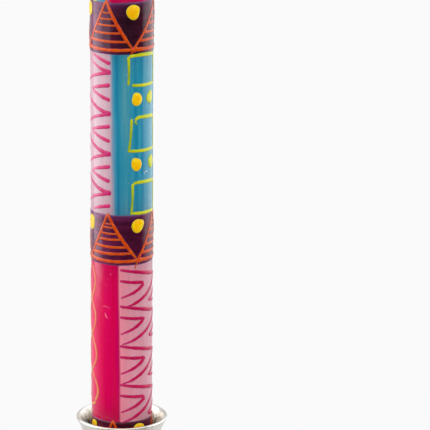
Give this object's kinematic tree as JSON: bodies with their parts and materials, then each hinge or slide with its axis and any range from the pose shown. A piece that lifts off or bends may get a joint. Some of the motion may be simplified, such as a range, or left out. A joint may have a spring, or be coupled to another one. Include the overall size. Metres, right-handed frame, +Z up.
{
  "type": "painted candle in a candle holder",
  "caption": "Straight dinner candle with a wick and raised painted wax decoration, standing loose in the flared cup of a turned metal candle holder with a felted round base.",
  "frame": {"origin": "centre of the felt's underside, where the holder stands on a table", "axes": "+Z up along the shared axis of candle and holder, -Y towards the side that is seen from the front"},
  "size_m": [0.072, 0.072, 0.3059],
  "materials": {
    "polished_nickel": "bright polished nickel plate with fine spinning lines and light handling marks",
    "cast_iron": "rough as cast",
    "zinc_steel": "zinc plated",
    "felt": "pressed wool felt",
    "white_wax": "translucent paraffin wax, satin",
    "cotton": "waxed braided cotton",
    "purple_wax": "glossy brushed wax, slightly translucent",
    "teal_wax": "glossy brushed wax, slightly translucent",
    "magenta_wax": "glossy brushed wax, slightly translucent",
    "pink_wax": "glossy brushed wax, slightly translucent",
    "orange_stroke_wax": "raised glossy wax strokes",
    "yellow_stroke_wax": "raised glossy wax strokes and dots",
    "magenta_stroke_wax": "raised glossy wax strokes"
  },
  "bodies": {
    "holder": {"felt_pad": "felt", "base_shell": "polished_nickel", "base_weight": "cast_iron", "washer": "zinc_steel", "hex_nut": "zinc_steel", "tie_bolt": "zinc_steel", "stem_ring": "polished_nickel", "stem_column": "polished_nickel", "cup_collar": "polished_nickel", "candle_cup": "polished_nickel"},
    "candle": {"wax_core": "white_wax", "wick": "cotton", "band_foot": "purple_wax", "band_lower": "purple_wax", "band_upper": "purple_wax", "band_top": "purple_wax", "panel_low_teal": "teal_wax", "panel_low_magenta": "magenta_wax", "panel_low_pink": "pink_wax", "panel_mid_teal": "teal_wax", "panel_mid_magenta": "magenta_wax", "panel_mid_pink": "pink_wax", "panel_high_teal": "teal_wax", "panel_high_magenta": "magenta_wax", "panel_high_pink": "pink_wax"}
  },
  "joints": [
    {"name": "candle_lift", "type": "slide", "parent": "holder", "child": "candle", "axis": [0, 0, 1], "range_m": [0, 0.04]}
  ]
}
